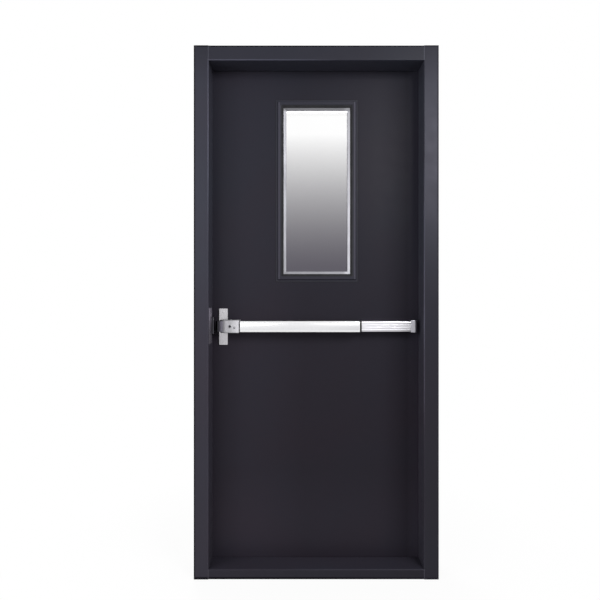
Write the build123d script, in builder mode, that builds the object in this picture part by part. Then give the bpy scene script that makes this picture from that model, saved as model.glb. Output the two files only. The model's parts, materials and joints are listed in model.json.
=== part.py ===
from build123d import *
import os

os.makedirs("parts", exist_ok=True)

# A steel fire door in its pressed steel frame, seen from the side that is pushed.
# X runs along the wall with the hinges at +X, Y runs from the push side to the pull side, Z is up.
# The origin is on the floor, in the middle of the frame's width and depth. Sizes are in millimetres.

# Frame sizes
frame_width = 1010.0
frame_height = 2200.0
frame_depth = 146.0
frame_sheet = 1.5
frame_bend = 3.0
jamb_face = 61.0
head_face = 61.0
sill_face = 41.0
stop_height = 18.0
rabbet_depth = 49.0
backbend = 13.0

# Wall anchor holes in the jamb rabbets, one pair half way between each two hinges
anchor_hole_radius = 5.5
anchor_spacing = 400.0

# Door seal on the stops
seal_width = 10.0
seal_thickness = 4.0
seal_inset = 4.0

# Leaf sizes
leaf_thickness = 44.0
edge_gap = 5.0
latch_gap = 5.5
latch_bevel = 2.0
skin_sheet = 1.2
skin_bend = 2.0
channel_sheet = 1.5
channel_leg = 25.0

# Vision panel sizes
vision_width = 290.0
vision_top_drop = 168.5
vision_rise_over_bar = 223.0
vision_shift_to_hinges = 6.0
glass_thickness = 28.0
glass_bite = 10.0
glass_edge_clearance = 0.3
trim_sheet = 1.5
trim_lip = 2.0
trim_rise = 9.0
trim_slope_width = 13.0
trim_ridge_width = 8.0
trim_fall_width = 5.0
trim_flange = 5.0
trim_clearance = 0.5
bead_width = 12.0
bead_top_width = 1.5
bead_foot = 1.5
glass_seal_thickness = 2.0
glass_seal_overlap = 6.0

# Hinge sizes
hinge_height = 102.0
hinge_plate_thickness = 3.0
hinge_plate_width = 31.5
hinge_plate_setback = 0.5
hinge_knuckle_radius = 7.0
hinge_knuckle_count = 5
hinge_knuckle_gap = 0.3
hinge_pin_radius = 4.0
hinge_pin_fit = 0.05
hinge_pin_head_radius = 6.0
hinge_pin_head_height = 3.0
hinge_pocket_clearance = 0.3
bottom_hinge_rise = 225.0
top_hinge_drop = 200.0
reinforcement_thickness = 5.0
reinforcement_height = 230.0
reinforcement_depth = 40.0

# Exit device sizes
bar_height_above_floor = 1039.0
bar_face_height = 48.0
bar_wall = 2.0
bar_edge_radius = 5.0
bar_projection = 65.0
bar_travel = 18.0
bar_pressed_gap = 5.0
device_gap = 5.0
case_from_latch_edge = 44.0
cap_from_hinge_edge = 27.5
rail_height = 34.0
rail_projection = 38.0
rail_sheet = 2.0
rail_edge_radius = 3.0
rail_cover_length = 209.0
rail_cover_height = 45.0
rail_cover_projection = 50.0
rail_cover_wall = 2.0
rail_cover_edge_radius = 3.0
rail_cover_gap = 8.0
end_cap_length = 28.0
end_cap_height = 52.0
end_cap_projection = 52.0
end_cap_inner_radius = 1.0
end_cap_outer_radius = 12.0
end_cap_rim_radius = 2.0
guide_radius = 5.0
guide_fit = 0.05
guide_reach = 14.0
guide_from_bar_end = 116.5
case_length = 89.0
case_height = 55.0
case_projection = 57.0
case_nose_radius = 46.0
case_corner_radius = 12.0
case_edge_radius = 3.0
case_rim_radius = 2.5
lock_plate_width = 36.5
lock_plate_height = 156.0
lock_plate_thickness = 7.0
lock_plate_corner = 3.0
lock_plate_overhang = 3.0
lock_plate_drop = 3.0
keyhole_radius = 5.0
keyhole_depth = 8.0
keyhole_from_nose = 49.0

# Latch bolt and keeper sizes
bolt_thickness = 16.0
bolt_height = 44.0
bolt_reach = 13.0
bolt_tail = 30.0
bolt_bevel = 9.0
bolt_tip_width = 4.0
bolt_travel = 14.0
bolt_fit = 0.4
bolt_depth_from_case_face = 10.0
bolt_end_clearance = 5.0
strike_plate_thickness = 3.0
strike_plate_width = 50.0
strike_plate_height = 149.0
strike_plate_front = 9.0
strike_rise_over_bar = 4.0
keeper_rise = 8.0
keeper_width = 36.0
keeper_height = 74.0
keeper_front = 52.0
keeper_edge = 2.0
keeper_corner = 3.0

# Planes of the frame
half_width = frame_width / 2
push_y = -frame_depth / 2
pull_y = frame_depth / 2
stop_y = pull_y - rabbet_depth
reveal_x = half_width - jamb_face
rabbet_x = reveal_x + stop_height
head_reveal_z = frame_height - head_face
head_rabbet_z = head_reveal_z + stop_height
sill_rabbet_z = sill_face - stop_height
inner_bend = frame_bend - frame_sheet
cope_y = stop_y + inner_bend
cut_margin = 1.0

# Planes of the leaf
leaf_push_y = pull_y - leaf_thickness
leaf_middle_y = pull_y - leaf_thickness / 2
leaf_hinge_x = rabbet_x - edge_gap
leaf_latch_x = -rabbet_x + latch_gap
leaf_bottom_z = sill_rabbet_z + edge_gap
leaf_top_z = head_rabbet_z - edge_gap

# Hinge axis, half way across the edge gap and outside the pull face by one knuckle radius
hinge_axis_x = rabbet_x - edge_gap / 2
hinge_axis_y = pull_y + hinge_knuckle_radius
bottom_hinge_z = leaf_bottom_z + bottom_hinge_rise
top_hinge_z = leaf_top_z - top_hinge_drop
middle_hinge_z = (bottom_hinge_z + top_hinge_z) / 2
hinge_heights = [bottom_hinge_z, middle_hinge_z, top_hinge_z]
anchor_heights = [(bottom_hinge_z + middle_hinge_z) / 2, (middle_hinge_z + top_hinge_z) / 2]

# Pocket that each hinge plate lies in, in the jamb and in the leaf
hinge_pocket_front_y = pull_y - hinge_plate_setback - hinge_plate_width - hinge_pocket_clearance
hinge_pocket_half_height = hinge_height / 2 + hinge_pocket_clearance

# Places of the exit device, counted inwards from the two edges of the leaf
case_left_x = leaf_latch_x + case_from_latch_edge
case_right_x = case_left_x + case_length
case_front_y = leaf_push_y - case_projection
rail_cover_right_x = leaf_hinge_x - cap_from_hinge_edge - end_cap_length
rail_cover_left_x = rail_cover_right_x - rail_cover_length
rail_front_y = leaf_push_y - rail_projection
bar_left_x = case_right_x + device_gap
bar_right_x = rail_cover_left_x - rail_cover_gap
bar_front_y = leaf_push_y - bar_projection
bar_depth = bar_projection - bar_travel - bar_pressed_gap
lock_plate_left_x = case_left_x - lock_plate_overhang
bolt_front_y = case_front_y + bolt_depth_from_case_face
bolt_tip_x = case_left_x - bolt_reach
bolt_tail_x = case_left_x + bolt_tail
keyhole_x = case_left_x + keyhole_from_nose

# Sight size and place of the vision panel, between the leaf's top and the bar
vision_bottom_z = bar_height_above_floor + vision_rise_over_bar
vision_height = leaf_top_z - vision_top_drop - vision_bottom_z
vision_centre_x = vision_shift_to_hinges
vision_centre_z = vision_bottom_z + vision_height / 2


def save(piece, name):
    """Labels a finished piece and writes it as its own STEP file."""
    piece.part.label = name
    export_step(piece.part, f"parts/{name}.step")


def folded_sheet(outline, radii, thickness, side):
    """Section of a folded sheet whose visible skin follows the outline."""
    with BuildSketch() as section:
        with BuildLine():
            FilletPolyline(*outline, radius=radii)
            offset(amount=thickness, side=side)
        make_face()
    return section.sketch


def block(x_range, y_range, z_range):
    """A plain rectangular solid between the given limits, kept out of any open part."""
    return Pos(
        (x_range[0] + x_range[1]) / 2,
        (y_range[0] + y_range[1]) / 2,
        (z_range[0] + z_range[1]) / 2,
    ) * Box(
        x_range[1] - x_range[0],
        y_range[1] - y_range[0],
        z_range[1] - z_range[0],
        mode=Mode.PRIVATE,
    )


def hinge_pockets(x_range):
    """The pockets cut for the three hinge plates, between the given limits across the wall."""
    return [
        block(
            x_range,
            (hinge_pocket_front_y, pull_y + cut_margin),
            (height - hinge_pocket_half_height, height + hinge_pocket_half_height),
        )
        for height in hinge_heights
    ]


# Frame

frame_radii = [frame_bend, frame_bend, frame_bend, inner_bend, frame_bend, frame_bend]


def jamb(side):
    """One full-height jamb: side is -1 at the latch and 1 at the hinges."""
    outline = [
        (side * half_width, push_y + backbend),
        (side * half_width, push_y),
        (side * reveal_x, push_y),
        (side * reveal_x, stop_y),
        (side * rabbet_x, stop_y),
        (side * rabbet_x, pull_y),
        (side * half_width, pull_y),
        (side * half_width, pull_y - backbend),
    ]
    throat = Side.LEFT if side < 0 else Side.RIGHT
    with BuildPart() as piece:
        with BuildSketch(Plane.XY):
            add(folded_sheet(outline, frame_radii, frame_sheet, throat))
        extrude(amount=frame_height)
        for height in anchor_heights:
            hole_centre = (side * rabbet_x, leaf_middle_y, height)
            with BuildSketch(Plane(origin=hole_centre, x_dir=(0, 1, 0), z_dir=(1, 0, 0))):
                with GridLocations(0, anchor_spacing, 1, 2):
                    Circle(anchor_hole_radius)
            extrude(amount=frame_sheet * 2, both=True, mode=Mode.SUBTRACT)
        if side > 0:
            pocket_floor_x = rabbet_x + hinge_plate_thickness + hinge_pocket_clearance
            add(hinge_pockets((rabbet_x - cut_margin, pocket_floor_x)), mode=Mode.SUBTRACT)
    return piece


left_jamb = jamb(-1)
save(left_jamb, "left_jamb")

right_jamb = jamb(1)
save(right_jamb, "right_jamb")


def cope(low_z, high_z):
    """The two end blocks that are cut away so that a rail fits round the jambs' stops."""
    return [
        block((end_low, end_high), (push_y - cut_margin, cope_y), (low_z, high_z))
        for end_low, end_high in (
            (-rabbet_x - cut_margin, -reveal_x),
            (reveal_x, rabbet_x + cut_margin),
        )
    ]


with BuildPart() as head:
    with BuildSketch(Plane.YZ.offset(-rabbet_x)):
        add(
            folded_sheet(
                [
                    (push_y + backbend, frame_height),
                    (push_y, frame_height),
                    (push_y, head_reveal_z),
                    (stop_y, head_reveal_z),
                    (stop_y, head_rabbet_z),
                    (pull_y, head_rabbet_z),
                    (pull_y, frame_height),
                    (pull_y - backbend, frame_height),
                ],
                frame_radii,
                frame_sheet,
                Side.LEFT,
            )
        )
    extrude(amount=2 * rabbet_x)
    add(cope(head_reveal_z - cut_margin, frame_height + cut_margin), mode=Mode.SUBTRACT)
save(head, "head")

with BuildPart() as sill:
    with BuildSketch(Plane.YZ.offset(-rabbet_x)):
        with BuildLine():
            FilletPolyline(
                (push_y, 0),
                (pull_y, 0),
                (pull_y, sill_rabbet_z),
                (stop_y, sill_rabbet_z),
                (stop_y, sill_face),
                (push_y, sill_face),
                radius=frame_radii,
                close=True,
            )
        make_face()
        offset(amount=-frame_sheet, mode=Mode.SUBTRACT)
    extrude(amount=2 * rabbet_x)
    add(cope(-cut_margin, sill_face + cut_margin), mode=Mode.SUBTRACT)
save(sill, "sill")

with BuildPart() as hinge_reinforcements:
    back_of_sheet = rabbet_x + frame_sheet
    plate_back_y = pull_y - frame_bend
    for height in hinge_heights:
        add(
            block(
                (back_of_sheet, back_of_sheet + reinforcement_thickness),
                (plate_back_y - reinforcement_depth, plate_back_y),
                (height - reinforcement_height / 2, height + reinforcement_height / 2),
            )
        )
    add(hinge_pockets((rabbet_x, rabbet_x + hinge_plate_thickness)), mode=Mode.SUBTRACT)
save(hinge_reinforcements, "hinge_reinforcements")

# Door seal strips, stuck on the faces of the stops

seal_inner_x = reveal_x + seal_inset
seal_top_z = head_reveal_z + seal_inset + seal_width
seal_bottom_z = sill_face - seal_inset - seal_width
seal_y_range = (stop_y, stop_y + seal_thickness)

for name, side in (("left_seal", -1), ("right_seal", 1)):
    with BuildPart() as side_seal:
        ends = sorted((side * seal_inner_x, side * (seal_inner_x + seal_width)))
        add(block(ends, seal_y_range, (seal_bottom_z, seal_top_z)))
    save(side_seal, name)

for name, low_z in (("head_seal", seal_top_z - seal_width), ("sill_seal", seal_bottom_z)):
    with BuildPart() as cross_seal:
        add(block((-seal_inner_x, seal_inner_x), seal_y_range, (low_z, low_z + seal_width)))
    save(cross_seal, name)

# Strike plate and keeper on the latch reveal

strike_z = bar_height_above_floor + strike_rise_over_bar


def plate_on_reveal(base_x, front_y, size, thickness, corner):
    """A plate with rounded corners that lies flat on the latch reveal; size is its width and height."""
    centre = (base_x, front_y + size[0] / 2, strike_z)
    with BuildPart() as piece:
        with BuildSketch(Plane(origin=centre, x_dir=(0, 1, 0), z_dir=(1, 0, 0))):
            RectangleRounded(*size, corner)
        extrude(amount=thickness)
    return piece


strike_plate = plate_on_reveal(
    -reveal_x,
    push_y + strike_plate_front,
    (strike_plate_width, strike_plate_height),
    strike_plate_thickness,
    lock_plate_corner,
)
save(strike_plate, "strike_plate")

plain_keeper = plate_on_reveal(
    -reveal_x + strike_plate_thickness,
    push_y + keeper_front,
    (keeper_width, keeper_height),
    keeper_rise,
    keeper_corner,
)
with BuildPart() as strike_keeper:
    add(plain_keeper.part)
    chamfer(strike_keeper.faces().sort_by(Axis.X)[-1].edges(), length=keeper_edge)
save(strike_keeper, "strike_keeper")

# Leaf


def leaf_plan(inset):
    """Plan of the leaf with its bevelled latch edge, drawn in by the given inset, with rounded corners."""
    with BuildSketch() as plan:
        with BuildLine():
            Polyline(
                (leaf_latch_x + latch_bevel, leaf_push_y),
                (leaf_hinge_x, leaf_push_y),
                (leaf_hinge_x, pull_y),
                (leaf_latch_x, pull_y),
                close=True,
            )
        make_face()
        offset(amount=-inset, kind=Kind.INTERSECTION)
        fillet(plan.vertices(), radius=skin_bend)
    return plan.sketch


def vision_hole(margin):
    """The block cut through the leaf round the vision panel, wider than it by the given margin."""
    return block(
        (vision_centre_x - vision_width / 2 - margin, vision_centre_x + vision_width / 2 + margin),
        (leaf_push_y - cut_margin, pull_y + cut_margin),
        (vision_centre_z - vision_height / 2 - margin, vision_centre_z + vision_height / 2 + margin),
    )


leaf_pocket_x_range = (leaf_hinge_x - hinge_plate_thickness, leaf_hinge_x + cut_margin)


def skin(face_y, first_side):
    """One face skin of the leaf, folded back along both upright edges as far as the middle of the leaf."""
    slant = latch_bevel / leaf_thickness
    latch_at_face = leaf_latch_x + slant * (pull_y - face_y)
    latch_at_middle = leaf_latch_x + slant * (pull_y - leaf_middle_y)
    with BuildPart() as piece:
        with BuildSketch(Plane.XY.offset(leaf_bottom_z)):
            add(
                folded_sheet(
                    [
                        (leaf_hinge_x, leaf_middle_y),
                        (leaf_hinge_x, face_y),
                        (latch_at_face, face_y),
                        (latch_at_middle, leaf_middle_y),
                    ],
                    [skin_bend, skin_bend],
                    skin_sheet,
                    first_side,
                )
            )
        extrude(amount=leaf_top_z - leaf_bottom_z)
        add(vision_hole(trim_sheet + trim_clearance), mode=Mode.SUBTRACT)
        add(hinge_pockets(leaf_pocket_x_range), mode=Mode.SUBTRACT)
    return piece


push_skin = skin(leaf_push_y, Side.RIGHT)
save(push_skin, "push_skin")

pull_skin = skin(pull_y, Side.LEFT)
save(pull_skin, "pull_skin")

with BuildPart() as leaf_core:
    with BuildSketch(Plane.XY.offset(leaf_bottom_z + channel_leg)):
        add(leaf_plan(skin_sheet))
    extrude(amount=leaf_top_z - leaf_bottom_z - 2 * channel_leg)
    add(vision_hole(glass_bite + glass_edge_clearance), mode=Mode.SUBTRACT)
    add(hinge_pockets(leaf_pocket_x_range), mode=Mode.SUBTRACT)
save(leaf_core, "leaf_core")

for name, base_z, web_side in (
    ("bottom_channel", leaf_bottom_z, 1),
    ("top_channel", leaf_top_z, -1),
):
    with BuildPart() as channel:
        with BuildSketch(Plane.XY.offset(base_z)):
            add(leaf_plan(skin_sheet))
        extrude(amount=web_side * channel_leg)
        with BuildSketch(Plane.XY.offset(base_z + web_side * channel_sheet)):
            add(leaf_plan(skin_sheet + channel_sheet))
        extrude(amount=web_side * channel_leg, mode=Mode.SUBTRACT)
    save(channel, name)

# Vision panel


def vision_plane(y):
    """The upright plane at the given depth, centred on the vision panel and facing the push side."""
    return Plane(origin=(vision_centre_x, y, vision_centre_z), x_dir=(1, 0, 0), z_dir=(0, -1, 0))


with BuildPart() as glass_pane:
    with BuildSketch(vision_plane(leaf_middle_y)):
        Rectangle(vision_width + 2 * glass_bite, vision_height + 2 * glass_bite)
    extrude(amount=glass_thickness / 2, both=True)
save(glass_pane, "glass_pane")

glass_drop = leaf_thickness / 2 - glass_thickness / 2
bead_drop = glass_drop - glass_seal_thickness


def glazing_ring(section_points, radii=None, sheet=None):
    """A mitred ring round the vision panel.

    Section points are (distance outside the sight edge, height above the leaf's push face).
    """
    path_plane = vision_plane(leaf_push_y)
    start = path_plane.from_local_coords((0, -vision_height / 2, 0))
    section_plane = Plane(origin=start, x_dir=(0, 0, -1), z_dir=(-1, 0, 0))
    with BuildPart() as ring:
        with BuildLine(path_plane) as path:
            Polyline(
                (0, -vision_height / 2),
                (-vision_width / 2, -vision_height / 2),
                (-vision_width / 2, vision_height / 2),
                (vision_width / 2, vision_height / 2),
                (vision_width / 2, -vision_height / 2),
                close=True,
            )
        with BuildSketch(section_plane):
            if sheet is None:
                with BuildLine():
                    Polyline(*section_points, close=True)
                make_face()
            else:
                add(folded_sheet(section_points, radii, sheet, Side.RIGHT))
        sweep(path=path.wire(), transition=Transition.RIGHT)
    return ring


ridge_start = trim_slope_width
ridge_end = ridge_start + trim_ridge_width
fall_end = ridge_end + trim_fall_width
trim_width = fall_end + trim_flange

push_trim = glazing_ring(
    [
        (0, -bead_drop),
        (0, trim_lip),
        (ridge_start, trim_rise),
        (ridge_end, trim_rise),
        (fall_end, trim_sheet),
        (trim_width, trim_sheet),
    ],
    [0, 0, 0, 0],
    trim_sheet,
)

push_bead = glazing_ring(
    [
        (0, -bead_drop),
        (0, 0),
        (-bead_top_width, 0),
        (-bead_width, bead_foot - bead_drop),
        (-bead_width, -bead_drop),
    ]
)

push_glass_seal = glazing_ring(
    [
        (-bead_width, -glass_drop),
        (glass_seal_overlap, -glass_drop),
        (glass_seal_overlap, -bead_drop),
        (-bead_width, -bead_drop),
    ]
)

leaf_middle_plane = Plane.XZ.offset(-leaf_middle_y)
for stem, ring in (("glazing_trim", push_trim), ("glazing_bead", push_bead), ("glass_seal", push_glass_seal)):
    save(ring, f"push_{stem}")
    with BuildPart() as pull_ring:
        add(ring.part)
        mirror(about=leaf_middle_plane, mode=Mode.REPLACE)
    save(pull_ring, f"pull_{stem}")

# Hinges

knuckle_pitch = hinge_height / hinge_knuckle_count


def hinge_plate(height, side):
    """One hinge plate with its knuckles: side is 1 on the frame and -1 on the leaf."""
    inner_x = hinge_axis_x + side * edge_gap / 2
    outer_x = inner_x + side * hinge_plate_thickness
    x_range = sorted((inner_x, outer_x))
    plate_back_y = pull_y - hinge_plate_setback
    own_knuckles = range(0 if side > 0 else 1, hinge_knuckle_count, 2)
    with BuildPart() as piece:
        add(
            block(
                x_range,
                (plate_back_y - hinge_plate_width, plate_back_y),
                (height - hinge_height / 2, height + hinge_height / 2),
            )
        )
        for index in own_knuckles:
            low = height - hinge_height / 2 + index * knuckle_pitch + hinge_knuckle_gap / 2
            length = knuckle_pitch - hinge_knuckle_gap
            add(block(x_range, (plate_back_y, hinge_axis_y), (low, low + length)))
            with BuildSketch(Plane(origin=(hinge_axis_x, hinge_axis_y, low))):
                Circle(hinge_knuckle_radius)
            extrude(amount=length)
        with BuildSketch(Plane(origin=(hinge_axis_x, hinge_axis_y, height))):
            Circle(hinge_pin_radius + hinge_pin_fit)
        extrude(amount=hinge_height, both=True, mode=Mode.SUBTRACT)
    return piece


def hinge_pin(height):
    """A hinge pin with a low round head at each end."""
    top = height + hinge_height / 2
    with BuildPart() as piece:
        with BuildSketch(Plane(origin=(hinge_axis_x, hinge_axis_y, height))):
            Circle(hinge_pin_radius)
        extrude(amount=hinge_height / 2, both=True)
        with BuildSketch(
            Plane(origin=(hinge_axis_x, hinge_axis_y, top)),
            Plane(origin=(hinge_axis_x, hinge_axis_y, height - hinge_height / 2 - hinge_pin_head_height)),
        ):
            Circle(hinge_pin_head_radius)
        extrude(amount=hinge_pin_head_height)
    return piece


for place, height in zip(("bottom", "middle", "top"), hinge_heights):
    save(hinge_plate(height, 1), f"{place}_hinge_frame_plate")
    save(hinge_plate(height, -1), f"{place}_hinge_leaf_plate")
    save(hinge_pin(height), f"{place}_hinge_pin")

# Exit device

guide_places = (bar_left_x + guide_from_bar_end, bar_right_x - guide_from_bar_end)


def facing_plane(x, y):
    """A plane at the height of the bar whose normal points out of the leaf's push side."""
    return Plane(origin=(x, y, bar_height_above_floor), x_dir=(1, 0, 0), z_dir=(0, -1, 0))


def device_channel(x_range, y_range, height, wall, edge_radius):
    """A channel along the leaf whose open side faces the leaf."""
    front, back = y_range
    low = bar_height_above_floor - height / 2
    high = bar_height_above_floor + height / 2
    section = folded_sheet(
        [(back, low), (front, low), (front, high), (back, high)],
        [edge_radius, edge_radius],
        wall,
        Side.RIGHT,
    )
    with BuildPart() as piece:
        with BuildSketch(Plane.YZ.offset(x_range[0])):
            add(section)
        extrude(amount=x_range[1] - x_range[0])
    return piece


def rounded_housing(x_range, front_y, height, radii, rim_radius):
    """A closed housing on the leaf's push face with rounded front corners and rims."""
    left, right = x_range
    rim_margin = rim_radius / 10
    with BuildPart() as piece:
        with BuildSketch(Plane.XY.offset(bar_height_above_floor - height / 2)):
            with BuildLine():
                FilletPolyline(
                    (left, leaf_push_y),
                    (left, front_y),
                    (right, front_y),
                    (right, leaf_push_y),
                    radius=radii,
                )
                Line((left, leaf_push_y), (right, leaf_push_y))
            make_face()
        extrude(amount=height)
        ends = piece.faces().filter_by(Axis.Z).edges()
        rims = ends.filter_by(lambda edge: edge.center().Y < leaf_push_y - rim_margin)
        fillet(rims, radius=rim_radius)
    return piece


with BuildPart() as lock_plate:
    plate_x = lock_plate_left_x + lock_plate_width / 2
    plate_z = bar_height_above_floor - lock_plate_drop
    with BuildSketch(Plane(origin=(plate_x, leaf_push_y, plate_z), x_dir=(1, 0, 0), z_dir=(0, -1, 0))):
        RectangleRounded(lock_plate_width, lock_plate_height, lock_plate_corner)
    extrude(amount=lock_plate_thickness)
save(lock_plate, "lock_plate")

with BuildPart() as latch_bolt:
    bolt_back_y = bolt_front_y + bolt_thickness
    with BuildSketch(Plane.XY.offset(bar_height_above_floor - bolt_height / 2)):
        with BuildLine():
            Polyline(
                (bolt_tail_x, bolt_front_y),
                (bolt_tail_x, bolt_back_y),
                (bolt_tip_x, bolt_back_y),
                (bolt_tip_x, bolt_back_y - bolt_tip_width),
                (bolt_tip_x + bolt_bevel, bolt_front_y),
                close=True,
            )
        make_face()
    extrude(amount=bolt_height)
save(latch_bolt, "latch_bolt")

solid_case = rounded_housing(
    (case_left_x, case_right_x),
    case_front_y,
    case_height,
    [case_nose_radius, case_edge_radius],
    case_rim_radius,
)
with BuildPart() as head_case:
    add(solid_case.part)
    case_middle_x = (case_left_x + case_right_x) / 2
    with BuildSketch(facing_plane(case_middle_x, case_front_y)) as case_outline:
        Rectangle(case_length, case_height)
        nose_corners = case_outline.vertices().sort_by(Axis.X)[:2]
        fillet(nose_corners, radius=case_corner_radius)
    extrude(amount=-case_projection, mode=Mode.INTERSECT)
    add(lock_plate.part, mode=Mode.SUBTRACT)
    slot_half_height = bolt_height / 2 + bolt_fit
    add(
        block(
            (case_left_x - cut_margin, bolt_tail_x + bolt_travel + bolt_end_clearance),
            (bolt_front_y - bolt_fit, bolt_front_y + bolt_thickness + bolt_fit),
            (bar_height_above_floor - slot_half_height, bar_height_above_floor + slot_half_height),
        ),
        mode=Mode.SUBTRACT,
    )
    with BuildSketch(facing_plane(keyhole_x, case_front_y)):
        Circle(keyhole_radius)
    extrude(amount=-keyhole_depth, mode=Mode.SUBTRACT)
save(head_case, "head_case")

plain_rail = device_channel(
    (case_right_x, rail_cover_right_x),
    (rail_front_y, leaf_push_y),
    rail_height,
    rail_sheet,
    rail_edge_radius,
)
with BuildPart() as rail_channel:
    add(plain_rail.part)
    for place in guide_places:
        with BuildSketch(facing_plane(place, rail_front_y)):
            Circle(guide_radius + guide_fit)
        extrude(amount=2 * rail_sheet, both=True, mode=Mode.SUBTRACT)
save(rail_channel, "rail_channel")

rail_cover = device_channel(
    (rail_cover_left_x, rail_cover_right_x),
    (leaf_push_y - rail_cover_projection, leaf_push_y),
    rail_cover_height,
    rail_cover_wall,
    rail_cover_edge_radius,
)
save(rail_cover, "rail_cover")

end_cap = rounded_housing(
    (rail_cover_right_x, rail_cover_right_x + end_cap_length),
    leaf_push_y - end_cap_projection,
    end_cap_height,
    [end_cap_inner_radius, end_cap_outer_radius],
    end_cap_rim_radius,
)
save(end_cap, "end_cap")

push_bar = device_channel(
    (bar_left_x, bar_right_x),
    (bar_front_y, bar_front_y + bar_depth),
    bar_face_height,
    bar_wall,
    bar_edge_radius,
)
save(push_bar, "push_bar")

with BuildPart() as bar_guides:
    guide_start_y = bar_front_y + bar_wall
    for place in guide_places:
        with BuildSketch(facing_plane(place, guide_start_y)):
            Circle(guide_radius)
        extrude(amount=guide_start_y - rail_front_y - guide_reach)
save(bar_guides, "bar_guides")
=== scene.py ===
"""Looks of a steel fire door in its frame: finishes, fasteners, fine trim, studio and camera.

The row frame is used throughout: metres, X along the wall with the hinges at +X, Y from the push side
to the pull side, Z up, with the origin on the floor in the middle of the frame.
"""

import functools
import json
import logging
import math
from dataclasses import dataclass
from enum import Enum
from typing import Any, Iterable, Sequence

import bmesh
import bpy
from mathutils import Matrix, Vector


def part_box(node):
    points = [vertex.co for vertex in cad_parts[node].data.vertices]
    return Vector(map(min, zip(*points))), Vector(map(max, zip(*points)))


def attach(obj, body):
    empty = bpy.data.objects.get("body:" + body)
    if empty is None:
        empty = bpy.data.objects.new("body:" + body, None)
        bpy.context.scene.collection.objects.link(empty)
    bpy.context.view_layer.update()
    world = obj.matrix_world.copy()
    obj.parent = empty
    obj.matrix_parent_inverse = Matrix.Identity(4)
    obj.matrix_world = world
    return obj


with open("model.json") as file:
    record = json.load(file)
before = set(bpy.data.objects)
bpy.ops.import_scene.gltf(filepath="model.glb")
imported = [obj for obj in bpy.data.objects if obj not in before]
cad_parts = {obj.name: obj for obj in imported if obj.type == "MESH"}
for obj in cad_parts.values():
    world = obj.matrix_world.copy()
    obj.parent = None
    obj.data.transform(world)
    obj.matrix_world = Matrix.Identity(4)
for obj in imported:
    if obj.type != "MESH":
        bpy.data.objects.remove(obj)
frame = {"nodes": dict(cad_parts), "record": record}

log = logging.getLogger("fire_door")

Ring = list[Vector]
Section = Sequence[tuple[float, float]]
Colour = tuple[float, float, float]

# The whole span of a share, and the span that most of a noise's values lie in
UNIT = (0.0, 1.0)
NOISE_SPAN = (0.3, 0.7)


def from_display(red: float, green: float, blue: float) -> Colour:
    """Turns a colour as a screen shows it, in 0 to 255, into the linear one that a shader wants.

    Args:
        red: red share, 0 to 255.
        green: green share, 0 to 255.
        blue: blue share, 0 to 255.

    Returns:
        The linear colour, each share from 0 to 1.
    """

    def linear(share: float) -> float:
        """The linear value of one share."""
        part = share / 255.0
        return part / 12.92 if part <= 0.04045 else ((part + 0.055) / 1.055) ** 2.4

    return linear(red), linear(green), linear(blue)


def scaled(colour: Colour, factor: float) -> Colour:
    """The colour made lighter or darker by a factor."""
    return colour[0] * factor, colour[1] * factor, colour[2] * factor


def tinted(colour: Colour, tint: Colour) -> Colour:
    """The colour with each of its shares multiplied by that of a tint."""
    return colour[0] * tint[0], colour[1] * tint[1], colour[2] * tint[2]


@dataclass(frozen=True)
class Outline:
    """An upright rectangle on the door's face, in metres."""

    centre_x: float
    half_width: float
    low: float
    high: float


@dataclass(frozen=True)
class Fade:
    """A slow change along one axis, as factors on a colour or on the gloss; on a colour it paints light and
    shade.
    """

    axis: str
    start: float
    end: float
    first: float
    last: float


class NodeSheet:
    """A node tree, with the few kinds of node that the finishes and the studio share."""

    def __init__(self, tree: bpy.types.NodeTree) -> None:
        """Takes over the tree that the nodes go into."""
        self.tree = tree

    def feed(self, node: Any, place: int | str, value: Any) -> None:
        """Gives an input either a link or a plain value.

        Args:
            node: the node that owns the input.
            place: the input's name or number.
            value: an output socket, a number or a colour.
        """
        if isinstance(value, bpy.types.NodeSocket):
            self.tree.links.new(value, node.inputs[place])
        else:
            node.inputs[place].default_value = value

    def node(self, kind: str, inputs: dict[int | str, Any], output: int | str, **options: str) -> Any:
        """Adds a node.

        Args:
            kind: its type, without the leading ShaderNode.
            inputs: a value or an output socket for each input's name or number.
            output: name or number of the output that is wanted.
            options: settings of the node, such as its operation.

        Returns:
            The socket of that output.
        """
        made = self.tree.nodes.new(f"ShaderNode{kind}")
        for name, value in options.items():
            setattr(made, name, value)
        for place, value in inputs.items():
            self.feed(made, place, value)
        return made.outputs[output]

    def sum_up(self, operation: str, first: Any, second: Any = 0.0, third: Any = 0.0) -> Any:
        """The socket of one step of arithmetic, named as the Math node's operation is."""
        return self.node("Math", {0: first, 1: second, 2: third}, "Value", operation=operation)

    def product(self, first: Any, second: Any) -> Any:
        """The socket of two values multiplied."""
        return self.sum_up("MULTIPLY", first, second)

    def spread(self, source: Any, span: Sequence[float], to: Sequence[float]) -> Any:
        """The socket of a value mapped from one low and high value to another, and held there."""
        limits = dict(zip(("From Min", "From Max", "To Min", "To Max"), (*span, *to)))
        return self.node("MapRange", {"Value": source, **limits}, "Result")

    def band(self, source: Any, low: float, high: float, blur: float) -> Any:
        """Marks where a value lies between two limits.

        Args:
            source: the socket of the value.
            low: the lower limit.
            high: the upper limit.
            blur: width of the soft passage at each limit.

        Returns:
            The socket of the mark, 1 between the limits.
        """
        rising = self.spread(source, (low - blur, low + blur), UNIT)
        falling = self.spread(source, (high - blur, high + blur), (1.0, 0.0))
        return self.product(rising, falling)

    def seen_directly(self) -> Any:
        """Tells whether a surface or the sky is seen, mirrored or looked at through glass.

        Returns:
            The socket, 1 for such rays.
        """
        rays = self.tree.nodes.new("ShaderNodeLightPath").outputs
        seen = self.sum_up("MAXIMUM", rays["Is Camera Ray"], rays["Is Glossy Ray"])
        return self.sum_up("MAXIMUM", seen, rays["Is Transmission Ray"])


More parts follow.
